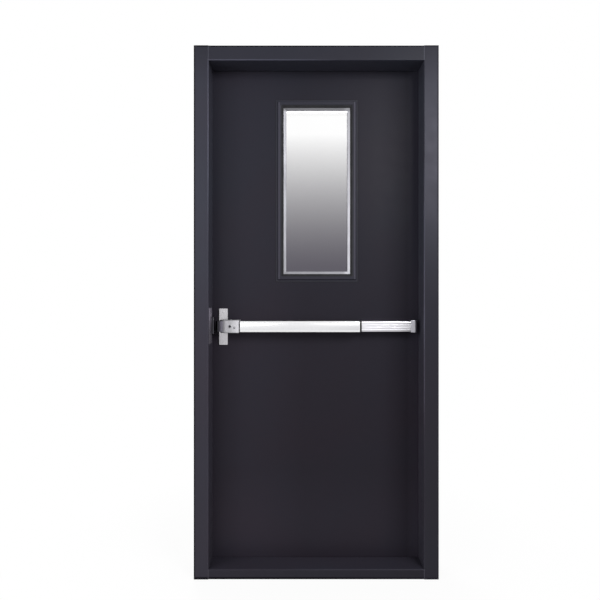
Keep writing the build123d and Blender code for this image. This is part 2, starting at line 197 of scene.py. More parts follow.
class ShaderSheet(NodeSheet):
    """The node tree of one finish."""

    def __init__(self, name: str) -> None:
        """Opens a new material.

        Args:
            name: the material's name.
        """
        self.material = bpy.data.materials.new(name)
        self.material.use_nodes = True
        super().__init__(self.material.node_tree)
        self.shader = self.tree.nodes["Principled BSDF"]
        coordinates = self.tree.nodes.new("ShaderNodeTexCoord")
        self.place = coordinates.outputs["Object"]
        self.own_normal = coordinates.outputs["Normal"]

    def stretched(self, scale: Sequence[float]) -> Any:
        """The socket of the object coordinates, scaled differently along X, Y and Z."""
        return self.node("Mapping", {"Vector": self.place, "Scale": scale}, "Vector")

    def noise(self, scale: float, detail: float = 2.0, place: Any = None) -> Any:
        """The socket of smooth noise, about 0.3 to 0.7, with its features in a metre and finer layers."""
        inputs = {"Vector": place or self.place, "Scale": scale, "Detail": detail}
        return self.node("TexNoise", inputs, "Fac")

    def cells(self, scale: float) -> Any:
        """The socket of a random grey for each cell of a crystal pattern, with its cells in a metre."""
        colour = self.node("TexVoronoi", {"Vector": self.place, "Scale": scale}, "Color")
        return self.node("RGBToBW", {"Color": colour}, "Val")

    def axis(self, name: str) -> Any:
        """The socket of one object coordinate, named X, Y or Z."""
        return self.node("SeparateXYZ", {"Vector": self.place}, name)

    def normal(self, name: str) -> Any:
        """The socket of one part of the piece's own normal, named X, Y or Z."""
        return self.node("SeparateXYZ", {"Vector": self.own_normal}, name)

    def reach_from(self, name: str, middle: float) -> Any:
        """The socket of the distance from a middle, along the axis X, Y or Z."""
        return self.sum_up("ABSOLUTE", self.sum_up("SUBTRACT", self.axis(name), middle))

    def outside(self, outline: Outline) -> Any:
        """Distance in metres outside an upright rectangle, below zero inside it.

        Args:
            outline: the rectangle.

        Returns:
            The socket of the distance.
        """
        across = self.reach_from("X", outline.centre_x)
        along = self.reach_from("Z", (outline.low + outline.high) / 2)
        over_x = self.sum_up("SUBTRACT", across, outline.half_width)
        over_z = self.sum_up("SUBTRACT", along, (outline.high - outline.low) / 2)
        return self.sum_up("MAXIMUM", over_x, over_z)

    def dimmed(self, colour: Any, factor: Any) -> Any:
        """The socket of a colour made darker or lighter by the socket of a factor."""
        return self.node("VectorMath", {0: colour, "Scale": factor}, "Vector", operation="SCALE")

    def along(self, fade: Fade, scale: float = 1.0) -> Any:
        """The socket of a fade's factor, times a scale."""
        factors = (fade.first * scale, fade.last * scale)
        return self.spread(self.axis(fade.axis), (fade.start, fade.end), factors)

    def with_painted_light(self, colour: Any, painted_light_fades: Iterable[Fade]) -> Any:
        """Paints light and shade onto a colour as slow changes of tone.

        Args:
            colour: the socket of the colour.
            painted_light_fades: the changes, each along one axis.

        Returns:
            The socket of the changed colour.
        """
        for fade in painted_light_fades:
            colour = self.dimmed(colour, self.along(fade))
        return colour

    def blend(self, share: Any, first: Any, second: Any) -> Any:
        """The socket of two colours mixed, with the share of the second one."""
        ends = [(*value, 1.0) if isinstance(value, tuple) else value for value in (first, second)]
        return self.node("Mix", {0: share, 6: ends[0], 7: ends[1]}, 2, data_type="RGBA")

    def relief(self, height: Any, strength: float, depth: float) -> None:
        """Roughens the surface's normal by a height from 0 to 1, with the relief's depth in metres."""
        inputs = {"Height": height, "Strength": strength, "Distance": depth}
        self.paint("Normal", self.node("Bump", inputs, "Normal"))

    def paint(self, name: str, value: Any) -> None:
        """Sets or links an input of the main shader."""
        self.feed(self.shader, name, (*value, 1.0) if isinstance(value, tuple) else value)


# Outlines on the door's face that the finishes follow
OPENING = Outline(centre_x=0.0, half_width=0.444, low=0.041, high=2.139)
FRAME_OUTLINE = Outline(centre_x=0.0, half_width=0.505, low=0.004, high=2.2)
SIGHT = Outline(centre_x=0.006, half_width=0.145, low=1.262, high=1.9835)


class Lay(Enum):
    """Direction of a metal's grain, as the noise scale along X, Y and Z."""

    ALONG_X = (5.0, 700.0, 1100.0)
    ALONG_Z = (1100.0, 700.0, 5.0)
    CAST = (260.0, 260.0, 260.0)


@dataclass(frozen=True)
class Finish:
    """What every finish has: a name and a main colour, as a screen shows it in 0 to 255."""

    name: str
    display: Colour

    @property
    def colour(self) -> Colour:
        """The main colour in linear shares."""
        return from_display(*self.display)

    def cover(self, sheet: ShaderSheet) -> None:
        """Builds the nodes; each kind of finish has its own."""
        raise NotImplementedError


@functools.cache
def material_of(finish: Finish) -> bpy.types.Material:
    """Builds a finish's material the first time that it is asked for.

    Args:
        finish: the finish.

    Returns:
        The one material of that finish.
    """
    sheet = ShaderSheet(finish.name)
    finish.cover(sheet)
    return sheet.material


@dataclass(frozen=True)
class PowderCoat(Finish):
    """Dark stoved paint with a fine orange peel, tone that changes at random, and slow changes of tone that
    are painted light and shade.
    """

    gloss: float = 0.12
    gloss_tint: Colour = (1.0, 1.0, 1.0)
    roughness: float = 0.42
    roughness_change: float = 0.03
    peel_scale: float = 620.0
    peel_strength: float = 0.16
    peel_depth: float = 0.0003
    grit_share: float = 0.16
    grit_tone: float = 1.6
    cloud_scale: float = 2.6
    cloud_share: float = 0.45
    warm_tint: Colour = (1.03, 0.94, 0.96)
    cool_tint: Colour = (0.92, 1.03, 1.06)
    cool_heights: tuple[float, float] = (0.9, 1.5)
    cool_share: float = 0.55
    dull_side: Fade | None = None
    # Painted light and shade: slow factors on the colour, each along one axis
    painted_light_fades: tuple[Fade, ...] = ()

    def cover(self, sheet: ShaderSheet) -> None:
        """Builds the paint.

        Args:
            sheet: the sheet that the nodes go into.
        """
        clouds = sheet.spread(sheet.noise(self.cloud_scale, 4.0), (0.36, 0.64), (0.0, self.cloud_share))
        height = sheet.spread(sheet.axis("Z"), self.cool_heights, (0.0, self.cool_share))
        warm, cool = tinted(self.colour, self.warm_tint), tinted(self.colour, self.cool_tint)
        tone = sheet.blend(sheet.sum_up("ADD", clouds, height), warm, cool)
        grit = sheet.spread(sheet.noise(self.peel_scale * 1.7, 1.0), NOISE_SPAN, (0.0, self.grit_share))
        tone = sheet.blend(grit, tone, scaled(self.colour, self.grit_tone))
        # Painted light and shade laid over the paint's own tone
        tone = sheet.with_painted_light(tone, self.painted_light_fades)
        scuffs = sheet.noise(self.cloud_scale * 9.0, 5.0)
        shine = (self.roughness - self.roughness_change, self.roughness + self.roughness_change)
        rough = sheet.spread(scuffs, NOISE_SPAN, shine)
        sheet.relief(sheet.noise(self.peel_scale, 2.0), self.peel_strength, self.peel_depth)
        sheet.paint("Specular Tint", self.gloss_tint)
        self.link_tone_and_gloss(sheet, tone, rough)

    def link_tone_and_gloss(self, sheet: ShaderSheet, tone: Any, rough: Any) -> None:
        """Links the tone and the gloss; kinds of coat that paint light, shade and highlights onto it add
        them here.

        Args:
            sheet: the sheet that the nodes go into.
            tone: the socket of the plain coat's colour.
            rough: the socket of the plain coat's roughness.
        """
        sheet.paint("Base Color", tone)
        sheet.paint("Roughness", rough)
        sheet.paint("Specular IOR Level", self.gloss)
        if self.dull_side is not None:
            sheet.paint("Specular IOR Level", sheet.along(self.dull_side, self.gloss))


@dataclass(frozen=True)
class FrameCoat(PowderCoat):
    """The frame's coat: painted light in the reveals, a painted highlight on the inner bends, and painted
    shade on the outer ones, which are also matt.
    """

    face_y: float = -0.073
    # Painted light in the reveals, as factors at the left and at the right jamb
    reveal_painted_light: tuple[float, float] = (1.35, 1.35)
    reveal_slant: tuple[float, float] = (0.2, 0.8)
    # Painted highlight on the inner bends of the opening, in patches
    arris_width: float = 0.0035
    arris_inset: float = 0.001
    arris_blur: float = 0.0008
    arris_patches: tuple[float, float] = (0.5, 1.0)
    patch_scale: float = 3.4
    arris_highlight_tones: tuple[float, float] = (2.6, 4.2)
    arris_least_highlight: tuple[float, float] = (0.15, 0.12)
    left_highlight_heights: tuple[float, float] = (1.35, 1.65)
    right_highlight_heights: tuple[float, float] = (0.8, 1.5)
    right_blur: float = 0.25
    side_passage: tuple[float, float] = (-0.1, 0.1)
    # Painted shade round the frame's outer bends, darker towards the left, over a matt unglossed skin
    rim_width: float = 0.007
    rim_blur: float = 0.0015
    rim_shade_tones: tuple[float, float] = (0.4, 0.75)
    rim_reach: tuple[float, float] = (0.0, 0.45)
    rim_roughness: float = 0.8

    def link_tone_and_gloss(self, sheet: ShaderSheet, tone: Any, rough: Any) -> None:
        """Adds the painted light in the reveals, the painted highlight on the inner bends and the painted
        shade on the matt outer ones.

        Args:
            sheet: the sheet that the nodes go into.
            tone: the socket of the plain coat's colour.
            rough: the socket of the plain coat's roughness.
        """
        tone = self.with_painted_arris_highlight(sheet, self.with_painted_light_in_reveals(sheet, tone))
        rim_span = (-self.rim_width, self.rim_blur - self.rim_width)
        rim = sheet.spread(sheet.outside(FRAME_OUTLINE), rim_span, UNIT)
        # Painted shade on the outer rim; the rim's matt skin and lost gloss are set below
        shaded_rim = sheet.dimmed(self.colour, sheet.spread(sheet.axis("X"), self.rim_reach, self.rim_shade_tones))
        sheet.paint("Base Color", sheet.blend(rim, tone, shaded_rim))
        sheet.paint("Roughness", sheet.sum_up("MAXIMUM", rough, sheet.product(rim, self.rim_roughness)))
        sheet.paint("Specular IOR Level", sheet.spread(rim, UNIT, (self.gloss, 0.0)))

    def with_painted_light_in_reveals(self, sheet: ShaderSheet, tone: Any) -> Any:
        """Paints light onto the surfaces that look across the opening, lifting them out of their shade.

        Args:
            sheet: the sheet that the nodes go into.
            tone: the socket of the coat's colour.

        Returns:
            The socket of the changed colour.
        """
        reach = (-OPENING.half_width, OPENING.half_width)
        # Painted light: the reveals are lightened, the right one most
        raised = sheet.sum_up("SUBTRACT", sheet.spread(sheet.axis("X"), reach, self.reveal_painted_light), 1.0)
        slant = sheet.sum_up("ABSOLUTE", sheet.normal("Y"))
        in_reveal = sheet.spread(slant, self.reveal_slant, (1.0, 0.0))
        return sheet.dimmed(tone, sheet.sum_up("MULTIPLY_ADD", raised, in_reveal, 1.0))

    def with_painted_arris_highlight(self, sheet: ShaderSheet, tone: Any) -> Any:
        """Paints a highlight on the inner bends: high up on the left jamb, at mid height on the right one.

        Args:
            sheet: the sheet that the nodes go into.
            tone: the socket of the coat's colour.

        Returns:
            The socket of the changed colour.
        """
        depth = sheet.sum_up("SUBTRACT", sheet.axis("Y"), self.face_y)
        at_face = sheet.spread(depth, (self.arris_width, self.arris_width * 1.5), (1.0, 0.0))
        # Painted highlight: the band of the inner bend at the face, in patches
        arris_band = sheet.band(sheet.outside(OPENING), -self.arris_inset, self.arris_width, self.arris_blur)
        patchy = sheet.spread(sheet.noise(self.patch_scale, 3.0), (0.4, 0.6), self.arris_patches)
        mark = sheet.product(sheet.product(arris_band, at_face), patchy)
        on_right = sheet.spread(sheet.axis("X"), self.side_passage, UNIT)
        left = sheet.spread(sheet.axis("Z"), self.left_highlight_heights, (self.arris_least_highlight[0], 1.0))
        middle = sheet.band(sheet.axis("Z"), *self.right_highlight_heights, self.right_blur)
        right = sheet.spread(middle, UNIT, (self.arris_least_highlight[1], 1.0))
        highlight_share = sheet.sum_up("MULTIPLY_ADD", on_right, sheet.sum_up("SUBTRACT", right, left), left)
        bright = sheet.dimmed(tone, sheet.spread(on_right, UNIT, self.arris_highlight_tones))
        return sheet.blend(sheet.product(mark, highlight_share), tone, bright)


@dataclass(frozen=True)
class TrimCoat(PowderCoat):
    """The coat of the glazing trims, with a painted highlight on the outer edge of the ridge."""

    ridge: tuple[float, float] = (0.0165, 0.0208)
    ridge_highlight_tone: float = 2.4
    ridge_blur: float = 0.0006
    end_blur: float = 0.002

    def link_tone_and_gloss(self, sheet: ShaderSheet, tone: Any, rough: Any) -> None:
        """Adds the painted highlight on the ridge.

        Args:
            sheet: the sheet that the nodes go into.
            tone: the socket of the plain coat's colour.
            rough: the socket of the plain coat's roughness.
        """
        reach = sheet.sum_up("SUBTRACT", sheet.reach_from("X", SIGHT.centre_x), SIGHT.half_width)
        upright = sheet.band(reach, *self.ridge, self.ridge_blur)
        low, high = SIGHT.low - self.ridge[1], SIGHT.high + self.ridge[1]
        inside = sheet.band(sheet.axis("Z"), low, high, self.end_blur)
        # Painted highlight along the ridge's two upright sides
        tone = sheet.blend(sheet.product(upright, inside), tone, scaled(self.colour, self.ridge_highlight_tone))
        super().link_tone_and_gloss(sheet, tone, rough)


@dataclass(frozen=True)
class BrushedMetal(Finish):
    """Bare metal with a grain that runs one way, or the even skin of a casting, with painted light and
    shade where a finish asks for it.
    """

    lay: Lay = Lay.ALONG_X
    roughness: float = 0.3
    roughness_change: tuple[float, float] = (0.06, -0.05)
    metallic: float = 1.0
    tone_change: float = 0.14
    grain_share: float = 0.65
    grain_depth: float = 0.00012
    patch_scale: float = 14.0
    painted_light_fades: tuple[Fade, ...] = ()
    # Painted highlight on faces slanted across X, 1 for none
    bevel_highlight_tone: float = 1.0
    bevel_slant: tuple[float, float] = (0.4, 0.9)
    # Painted shade along the inside of an outline's edges
    shaded_edge: Outline | None = None
    edge_shade_width: float = 0.004
    edge_shade_tone: float = 0.35

    def cover(self, sheet: ShaderSheet) -> None:
        """Builds the metal.

        Args:
            sheet: the sheet that the nodes go into.
        """
        grain = sheet.noise(1.0, 3.0, sheet.stretched(self.lay.value))
        patches = sheet.noise(self.patch_scale, 3.0)
        shared_grain = sheet.product(grain, self.grain_share)
        mixed = sheet.sum_up("MULTIPLY_ADD", patches, 1.0 - self.grain_share, shared_grain)
        share = sheet.spread(mixed, (0.38, 0.62), UNIT)
        tone = sheet.blend(share, scaled(self.colour, 1.0 - self.tone_change), self.colour)
        tone = sheet.with_painted_light(tone, self.painted_light_fades)
        # Painted highlight on the slanted faces
        if self.bevel_highlight_tone != 1.0:
            slant = sheet.band(sheet.sum_up("ABSOLUTE", sheet.normal("X")), *self.bevel_slant, 0.05)
            tone = sheet.blend(slant, tone, scaled(self.colour, self.bevel_highlight_tone))
        # Painted shade towards the edges of the outline
        if self.shaded_edge is not None:
            depth = sheet.outside(self.shaded_edge)
            tone = sheet.dimmed(tone, sheet.spread(depth, (-self.edge_shade_width, 0.0), (1.0, self.edge_shade_tone)))
        sheet.paint("Base Color", tone)
        sheet.paint("Metallic", self.metallic)
        shine = (self.roughness + self.roughness_change[0], self.roughness + self.roughness_change[1])
        sheet.paint("Roughness", sheet.spread(mixed, (0.35, 0.65), shine))
        sheet.relief(grain, 0.25, self.grain_depth)


@dataclass(frozen=True)
class GradedGlass(Finish):
    """Glass with a painted reflection: clear at the top, passing into dark grey downwards."""

    low: float = 1.29
    high: float = 1.875
    foot_value: float = 0.353
    curve: float = 1.22
    display_gamma: float = 2.2
    mirror_share: float = 0.03
    least_passed: float = 0.005
    film_share: float = 0.985
    painted_gradient_dark: Colour = (0.008, 0.0, 0.024)

    def cover(self, sheet: ShaderSheet) -> None:
        """Builds the glass.

        Args:
            sheet: the sheet that the nodes go into.
        """
        # Painted reflection: the glass passes less light lower down
        rise = sheet.spread(sheet.axis("Z"), (self.low, self.high), UNIT)
        curved = sheet.sum_up("POWER", rise, self.curve)
        shown = sheet.sum_up("MULTIPLY_ADD", curved, 1.0 - self.foot_value, self.foot_value)
        linear = sheet.sum_up("POWER", shown, self.display_gamma)
        passed = sheet.spread(linear, (self.mirror_share, 1.0), (self.least_passed, 1.0))
        film = sheet.spread(sheet.noise(5.0, 3.0), NOISE_SPAN, (self.film_share, 1.0))
        sheet.paint("Base Color", sheet.blend(sheet.product(passed, film), self.painted_gradient_dark, self.colour))
        sheet.paint("Transmission Weight", 1.0)
        sheet.paint("Roughness", 0.0)
        sheet.paint("IOR", 1.5)


@dataclass(frozen=True)
class SealRubber(Finish):
    """Matt rubber, silicone or tape with a dusty skin."""

    dust_scale: float = 90.0
    dust_share: float = 0.5
    dust_tone: float = 2.2
    roughness_span: tuple[float, float] = (0.62, 0.85)
    gloss: float = 0.25
    grain_scale: float = 1400.0
    grain_depth: float = 0.0004

    def cover(self, sheet: ShaderSheet) -> None:
        """Builds the rubber.

        Args:
            sheet: the sheet that the nodes go into.
        """
        dust = sheet.spread(sheet.noise(self.dust_scale, 5.0), (0.35, 0.7), (0.0, self.dust_share))
        sheet.paint("Base Color", sheet.blend(dust, self.colour, scaled(self.colour, self.dust_tone)))
        sheet.paint("Roughness", sheet.spread(sheet.noise(40.0, 3.0), NOISE_SPAN, self.roughness_span))
        sheet.paint("Specular IOR Level", self.gloss)
        sheet.relief(sheet.noise(self.grain_scale, 2.0), 0.35, self.grain_depth)


@dataclass(frozen=True)
class MineralBoard(Finish):
    """Pressed mineral board: pale, matt and speckled with fibres."""

    fibre_scales: tuple[float, float, float] = (120.0, 420.0, 420.0)
    fibre_tone: float = 0.62
    roughness_span: tuple[float, float] = (0.8, 0.95)
    pore_scale: float = 380.0
    pore_depth: float = 0.001

    def cover(self, sheet: ShaderSheet) -> None:
        """Builds the board.

        Args:
            sheet: the sheet that the nodes go into.
        """
        fibres = sheet.noise(1.0, 4.0, sheet.stretched(self.fibre_scales))
        share = sheet.spread(fibres, (0.35, 0.65), UNIT)
        sheet.paint("Base Color", sheet.blend(share, scaled(self.colour, self.fibre_tone), self.colour))
        sheet.paint("Roughness", sheet.spread(fibres, NOISE_SPAN, self.roughness_span))
        sheet.relief(sheet.noise(self.pore_scale, 5.0), 0.5, self.pore_depth)


@dataclass(frozen=True)
class ZincSkin(Finish):
    """Galvanised sheet with its crystal pattern."""

    crystals: float = 70.0
    crystal_share: float = 0.6
    bloom_share: float = 0.4
    dark_tone: float = 0.7
    metallic: float = 0.9
    roughness_span: tuple[float, float] = (0.36, 0.56)

    def cover(self, sheet: ShaderSheet) -> None:
        """Builds the zinc.

        Args:
            sheet: the sheet that the nodes go into.
        """
        crystal = sheet.cells(self.crystals)
        bloom = sheet.noise(30.0, 4.0)
        blooming = sheet.product(bloom, self.bloom_share)
        share = sheet.sum_up("MULTIPLY_ADD", crystal, self.crystal_share, blooming)
        sheet.paint("Base Color", sheet.blend(share, scaled(self.colour, self.dark_tone), self.colour))
        sheet.paint("Metallic", self.metallic)
        sheet.paint("Roughness", sheet.spread(crystal, UNIT, self.roughness_span))
        sheet.relief(bloom, 0.15, 0.0003)


# Finishes of the frame
FRAME_COAT = FrameCoat(
    "frame_powder_coat",
    (44, 43, 50),
    gloss=0.156,
    gloss_tint=(0.85, 0.83, 1.0),
    roughness=0.4,
    # Painted shade: darker towards the right jamb and at the top; painted light in the reveals, most on the
    # right
    painted_light_fades=(Fade("X", -0.30, 0.45, 1.0, 0.52), Fade("Z", 2.04, 2.19, 1.0, 0.68)),
    reveal_painted_light=(1.25, 2.7),
)
# A darker copy of the frame's coat, as painted shade on the head and sill, darker still to the right
SHADED_CROSS_COAT = FrameCoat(
    "head_and_sill_coat",
    (37, 36, 43),
    gloss=0.125,
    gloss_tint=(0.94, 0.93, 1.0),
    roughness=0.38,
    painted_light_fades=(Fade("X", -0.30, 0.45, 1.0, 0.66),),
    reveal_painted_light=(1.25, 1.95),
)
# A lighter copy of the frame's coat, as a painted highlight on the corner welds
WELD_HIGHLIGHT_COAT = PowderCoat("corner_weld_coat", (72, 71, 80), gloss=0.2, roughness=0.34)

# Finishes of the leaf and its vision panel
LEAF_COAT = PowderCoat(
    "leaf_powder_coat",
    (37, 35, 42),
    gloss=0.06,
    roughness=0.4,
    # Painted shade towards the middle and right, a painted light strip beside the right reveal, painted
    # light near the bottom
    painted_light_fades=(
        Fade("X", -0.32, -0.05, 1.02, 0.76),
        Fade("X", 0.30, 0.375, 1.0, 0.85),
        Fade("X", 0.395, 0.435, 1.0, 2.1),
        Fade("Z", 0.04, 0.42, 1.4, 1.0),
    ),
    dull_side=Fade("X", 0.27, 0.38, 1.0, 0.45),
)
LEAF_BACK_COAT = PowderCoat("leaf_back_powder_coat", (37, 35, 42), gloss=0.1, roughness=0.4)
TRIM_COAT = TrimCoat("glazing_trim_coat", (40, 39, 46), gloss=0.1, roughness=0.38)
RAW_SHEET = ZincSkin("galvanised_sheet", (168, 170, 173))
CORE_BOARD = MineralBoard("mineral_board", (186, 178, 160))
DOOR_SEAL = SealRubber("door_seal_strip", (30, 30, 32))
GLAZING_SILICONE = SealRubber("glazing_silicone", (205, 205, 208))
SETTING_TAPE = SealRubber("glass_setting_tape_skin", (236, 236, 238))
GASKET = SealRubber("glazing_gasket_rubber", (18, 18, 21))
PANEL_GLASS = GradedGlass("graded_panel_glass", (255, 255, 255))
BEAD_METAL = BrushedMetal(
    "satin_glazing_bead",
    (140, 140, 145),
    Lay.ALONG_Z,
    roughness=0.55,
    # Painted shade on the top bead and the left one, painted light on the right one
    painted_light_fades=(
        Fade("Z", 1.966, 1.973, 1.0, 0.6),
        Fade("X", 0.12, 0.135, 1.0, 1.5),
        Fade("X", -0.125, -0.115, 0.88, 1.0),
    ),
)
PULL_BEAD_METAL = BrushedMetal("pull_glazing_bead", (172, 172, 177), Lay.ALONG_Z, roughness=0.5)

# Finishes of the hinges, the exit device and the latch
HINGE_STEEL = BrushedMetal("satin_hinge_steel", (178, 178, 180), Lay.ALONG_Z, roughness=0.32)
PIN_STEEL = BrushedMetal("bright_pin_steel", (196, 196, 198), Lay.ALONG_Z, roughness=0.22)
BAR_METAL = BrushedMetal("satin_push_bar", (238, 238, 239), Lay.ALONG_X, roughness=0.24, tone_change=0.05)
PAD_METAL = BrushedMetal(
    "push_bar_face",
    (234, 234, 236),
    Lay.ALONG_X,
    roughness=0.24,
    tone_change=0.06,
    # Painted shade towards the right end
    painted_light_fades=(Fade("X", 0.0, 0.18, 1.0, 0.88),),
)
RAIL_METAL = BrushedMetal(
    "fluted_rail_metal",
    (215, 214, 219),
    Lay.ALONG_X,
    roughness=0.3,
    # Painted shadow at the left end beside the gap, painted shade towards the right
    painted_light_fades=(
        Fade("X", 0.1925, 0.1955, 0.02, 1.0),
        Fade("X", 0.24, 0.40, 1.0, 0.7),
        Fade("X", 0.345, 0.40, 1.0, 0.62),
    ),
)
CASE_METAL = BrushedMetal(
    "head_case_metal",
    (249, 248, 254),
    Lay.CAST,
    roughness=0.5,
    metallic=0.4,
    # Painted shade over the rounded nose in place of its darker reflection, painted light at the right end
    # beside the gap, painted shade along the edges
    painted_light_fades=(Fade("X", -0.412, -0.388, 0.14, 0.35), Fade("X", -0.360, -0.328, 1.0, 1.6)),
    shaded_edge=Outline(centre_x=-0.357, half_width=0.0555, low=1.0115, high=1.0665),
)
CHANNEL_METAL = BrushedMetal(
    "rail_channel_metal",
    (230, 229, 234),
    Lay.ALONG_X,
    roughness=0.28,
    # Painted light where it shows beside the head case, painted shade further right, nearly black
    painted_light_fades=(Fade("X", -0.30, 0.0, 1.0, 0.03),),
)
CAP_METAL = BrushedMetal("end_cap_metal", (156, 155, 161), Lay.CAST, roughness=0.38)
PLATE_METAL = BrushedMetal("lock_plate_metal", (192, 190, 194), Lay.ALONG_Z, roughness=0.28)
# Dark as painted shade where the bolt stands out of the case, darker towards its tip, much lighter inside
# the case
SHADED_BOLT_METAL = BrushedMetal(
    "latch_bolt_metal",
    (46, 45, 50),
    Lay.CAST,
    roughness=0.42,
    painted_light_fades=(Fade("X", -0.4255, -0.411, 0.8, 1.2), Fade("X", -0.410, -0.397, 1.0, 5.0)),
)
# Painted highlight on the keeper's slanted faces
KEEPER_METAL = BrushedMetal("keeper_metal", (56, 55, 60), Lay.ALONG_Z, roughness=0.34, bevel_highlight_tone=3.4)
STRIKE_METAL = BrushedMetal(
    "strike_plate_metal",
    (122, 117, 130),
    Lay.ALONG_Z,
    roughness=0.5,
    metallic=0.35,
    # Painted shade: darker towards the bottom
    painted_light_fades=(Fade("Z", 1.02, 1.088, 0.42, 1.0),),
)
SCREW_STEEL = BrushedMetal("screw_steel", (150, 150, 153), Lay.CAST, roughness=0.28)
DARK_SCREW = BrushedMetal("dark_screw_steel", (130, 130, 134), Lay.CAST, roughness=0.3)
ANCHOR_ZINC = ZincSkin("plated_anchor_steel", (180, 178, 171), crystals=240.0)
KEY_STEEL = BrushedMetal("key_socket_steel", (40, 40, 44), Lay.CAST, roughness=0.35)


class Workpiece:
    """A mesh made ring by ring in the row frame."""

    def __init__(self, name: str) -> None:
        """Starts an empty mesh under the piece's name."""
        self.name = name
        self.form = bmesh.new()

    def loft(self, rings: Sequence[Ring], seat: Matrix | None = None, endless: bool = False) -> None:
        """Skins a run of closed rings.

        Args:
            rings: rings with equally many points, in order.
            seat: where the run goes, or None where it is already in place.
            endless: whether the run comes back to its start; both its ends are closed otherwise.
        """
        place = seat or Matrix.Identity(4)
        rows = [[self.form.verts.new(place @ point) for point in ring] for ring in rings]
        count = len(rows[0])
        for row, following in zip(rows, [*rows[1:], rows[0]] if endless else rows[1:]):
            for index in range(count):
                after = (index + 1) % count
                self.form.faces.new((row[index], row[after], following[after], following[index]))
        if not endless:
            self.form.faces.new(list(reversed(rows[0])))
            self.form.faces.new(rows[-1])

    def deliver(self, body: str, slot: str, finish: Finish, crease: float = 35.0) -> bpy.types.Object:
        """Closes the mesh and hangs it on its body.

        Args:
            body: the body that it rides on.
            slot: the record's material slot.
            finish: its finish.
            crease: the angle in degrees above which an edge stays sharp.

        Returns:
            The new object.
        """
        bmesh.ops.recalc_face_normals(self.form, faces=self.form.faces)
        mesh = bpy.data.meshes.new(self.name)
        self.form.to_mesh(mesh)
        self.form.free()
        mesh.polygons.foreach_set("use_smooth", [True] * len(mesh.polygons))
        mesh.set_sharp_from_angle(angle=math.radians(crease))
        mesh.materials.append(material_of(finish))
        piece = bpy.data.objects.new(self.name, mesh)
        bpy.context.scene.collection.objects.link(piece)
        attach(piece, body)
        return piece


def seat_on(point: Sequence[float], outward: Sequence[float], turn: float = 0.0) -> Matrix:
    """The place of a small part that stands on a surface.

    Args:
        point: where it stands.
        outward: the surface's normal, which the part's own Z follows.
        turn: the part's turn about that normal, in degrees.

    Returns:
        The matrix that moves it there.
    """
    turned = Vector(outward).to_track_quat("Z", "Y").to_matrix().to_4x4()
    return Matrix.Translation(Vector(point)) @ turned @ Matrix.Rotation(math.radians(turn), 4, "Z")


def on_circle(radius: float, angle: float, level: float = 0.0) -> Vector:
    """The point at an angle in radians on a level circle about the origin."""
    return Vector((radius * math.cos(angle), radius * math.sin(angle), level))


def subdivided(corners: Sequence[tuple[float, float]], steps: int) -> list[tuple[float, float]]:
    """Divides each side of a closed outline.

    Args:
        corners: the outline's corners.
        steps: parts that each side is divided into.

    Returns:
        All the points in order.
    """
    points = []
    for start, end in zip(corners, [*corners[1:], corners[0]]):
        for step in range(steps):
            share = step / steps
            points.append((start[0] + (end[0] - start[0]) * share, start[1] + (end[1] - start[1]) * share))
    return points


CROSS_ARM_SHARE = 0.26


class Recess(Enum):
    """The drive that is sunk into a fastener's head."""

    CROSS = "cross"
    HEX = "hex"

    def outline(self, reach: float) -> list[tuple[float, float]]:
        """Outline of the recess about the middle of the head.

        Args:
            reach: distance from the middle to the outline's furthest point.

        Returns:
            The points of the outline in order.
        """
        if self is Recess.HEX:
            turns = [math.radians(60 * corner) for corner in range(6)]
            return subdivided([(reach * math.cos(turn), reach * math.sin(turn)) for turn in turns], 4)
        arm = reach * CROSS_ARM_SHARE
        corners = [(reach, -arm), (reach, arm), (arm, arm), (arm, reach), (-arm, reach), (-arm, arm)]
        corners += [(-x, -y) for x, y in corners]
        return subdivided(corners, 3)


# Steps of a head from its edge inwards: share of its radius or of its recess, and share of its rise
DOME_STEPS = ((1.0, 0.35), (0.95, 0.7))
CROWN_LEVEL = 0.94
DRIVE_STEPS = ((1.08, 1.0), (1.0, 0.96))
DRIVE_FLOOR = 0.86


@dataclass(frozen=True)
class Fastener:
    """A screw or bolt head, in metres."""

    radius: float
    rise: float
    recess: Recess
    reach: float
    depth: float
    sunk: float = 0.0003

    def rings(self) -> list[Ring]:
        """The head from its foot over its dome into the recess.

        Returns:
            The rings of the head, its own Z pointing outwards.
        """
        outline = self.recess.outline(self.reach)
        angles = [math.atan2(y, x) for x, y in outline]

        def round_ring(radius: float, level: float) -> Ring:
            """A circle with its points at the angles of the recess."""
            return [on_circle(radius, angle, level) for angle in angles]

        def drive_ring(share: float, level: float) -> Ring:
            """The recess outline at the given share of its size."""
            return [Vector((x * share, y * share, level)) for x, y in outline]

        return [
            round_ring(self.radius, -self.sunk),
            *(round_ring(self.radius * share, self.rise * level) for share, level in DOME_STEPS),
            round_ring((self.radius + self.reach) / 2, self.rise * CROWN_LEVEL),
            *(drive_ring(share, self.rise * level) for share, level in DRIVE_STEPS),
            drive_ring(DRIVE_FLOOR, self.rise - self.depth),
        ]


PLATE_SCREW = Fastener(radius=0.0045, rise=0.0005, recess=Recess.CROSS, reach=0.0026, depth=0.0022)
CASE_SCREW = Fastener(radius=0.0032, rise=0.0007, recess=Recess.CROSS, reach=0.0018, depth=0.0016)
FACE_SCREW = Fastener(radius=0.0048, rise=0.0008, recess=Recess.CROSS, reach=0.0026, depth=0.0018)
ANCHOR_HEAD = Fastener(radius=0.0085, rise=0.0018, recess=Recess.HEX, reach=0.0042, depth=0.004, sunk=0.001)


def set_of_heads(name: str, head: Fastener, seats: Iterable[Matrix]) -> Workpiece:
    """Joins many like heads into one mesh.

    Args:
        name: the piece's name.
        head: the head that is repeated.
        seats: where each one goes.

    Returns:
        The mesh, not yet delivered.
    """
    piece = Workpiece(name)
    for seat in seats:
        piece.loft(head.rings(), seat)
    return piece


